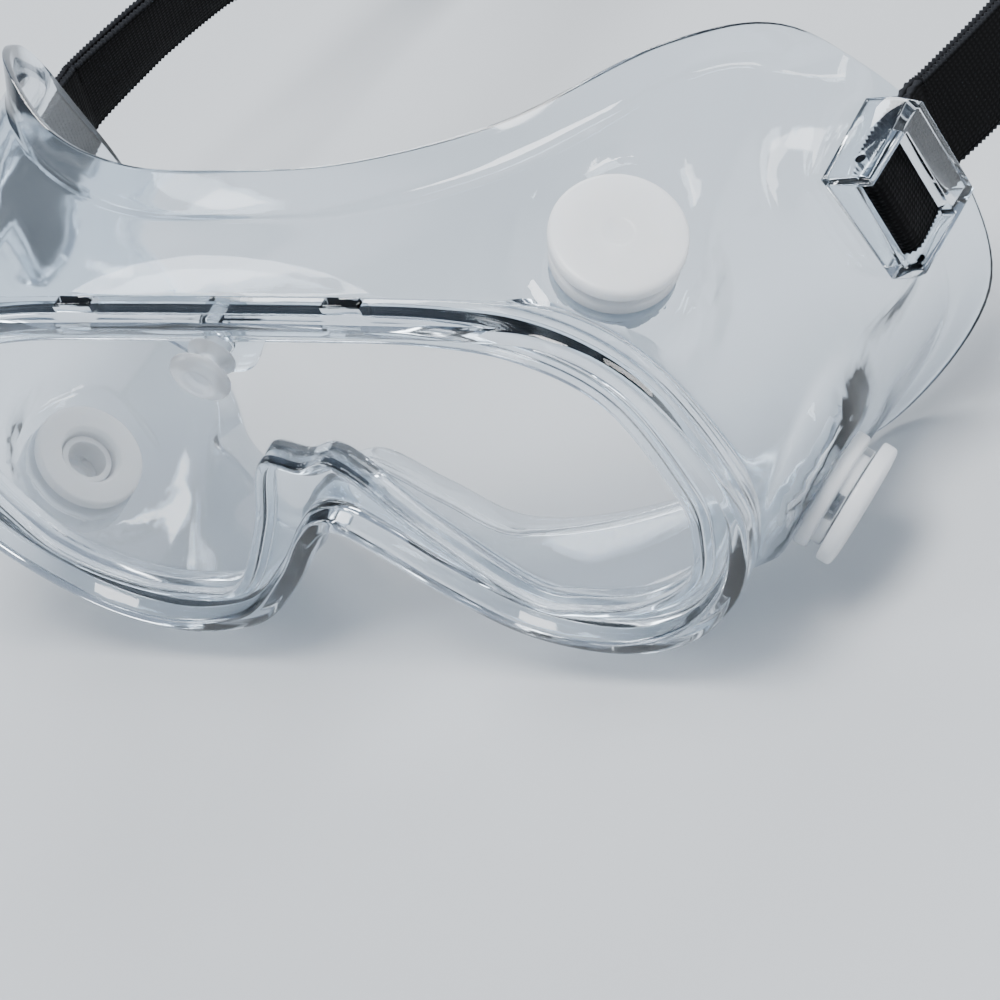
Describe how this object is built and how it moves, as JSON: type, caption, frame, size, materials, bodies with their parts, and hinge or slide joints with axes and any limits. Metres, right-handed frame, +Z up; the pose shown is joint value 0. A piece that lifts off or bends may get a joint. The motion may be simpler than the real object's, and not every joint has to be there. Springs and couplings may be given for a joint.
{
  "type": "safety goggles",
  "caption": "Clear splash goggles: a soft frame with a face skirt, a wide lens, round capped vents, strap clips and an elastic headband.",
  "frame": {"origin": "the middle of the face seal at the brow, between the eyes", "axes": "+Z up, the wearer looks along -Y, +X to the wearer's left; the band runs round the head to +Y"},
  "size_m": [0.1815, 0.2149, 0.0873],
  "materials": {
    "clear_pvc": "glossy clear soft plastic with a faint blue tint",
    "clear_lens": "polished clear",
    "milky_plastic": "translucent milky white, satin",
    "black_elastic": "matt woven elastic",
    "black_plastic": "matt"
  },
  "bodies": {
    "goggles": {"frame_skirt": "clear_pvc", "lens": "clear_lens", "lens_stud": "milky_plastic", "lens_stud_washer": "milky_plastic", "vent_body_upper_left": "milky_plastic", "vent_body_upper_right": "milky_plastic", "vent_body_lower_left": "milky_plastic", "vent_body_lower_right": "milky_plastic", "strap_clip_left": "clear_pvc", "strap_clip_right": "clear_pvc", "strap": "black_elastic"},
    "cap_upper_left": {"vent_cap_upper_left": "milky_plastic"},
    "cap_upper_right": {"vent_cap_upper_right": "milky_plastic"},
    "cap_lower_left": {"vent_cap_lower_left": "milky_plastic"},
    "cap_lower_right": {"vent_cap_lower_right": "milky_plastic"},
    "slider_left": {"strap_slider_left": "black_plastic"},
    "slider_right": {"strap_slider_right": "black_plastic"}
  },
  "joints": [
    {"name": "vent_cap_upper_left_turn", "type": "hinge", "parent": "goggles", "child": "cap_upper_left", "pos_m": [0.0614, -0.0014, 0.0312], "axis": [0.5319, -0.0803, 0.843], "continuous": true},
    {"name": "vent_cap_upper_right_turn", "type": "hinge", "parent": "goggles", "child": "cap_upper_right", "pos_m": [-0.0614, -0.0014, 0.0312], "axis": [-0.5319, -0.0803, 0.843], "continuous": true},
    {"name": "vent_cap_lower_left_turn", "type": "hinge", "parent": "goggles", "child": "cap_lower_left", "pos_m": [0.0684, 0.0062, -0.0242], "axis": [0.7693, -0.1099, -0.6294], "continuous": true},
    {"name": "vent_cap_lower_right_turn", "type": "hinge", "parent": "goggles", "child": "cap_lower_right", "pos_m": [-0.0684, 0.0062, -0.0242], "axis": [-0.7693, -0.1099, -0.6294], "continuous": true},
    {"name": "slider_left_slide", "type": "slide", "parent": "goggles", "child": "slider_left", "axis": [-0.2005, 0.9324, -0.3008], "range_m": [-0.012, 0.009]},
    {"name": "slider_right_slide", "type": "slide", "parent": "goggles", "child": "slider_right", "axis": [0.2005, 0.9324, -0.3008], "range_m": [-0.012, 0.009]}
  ]
}
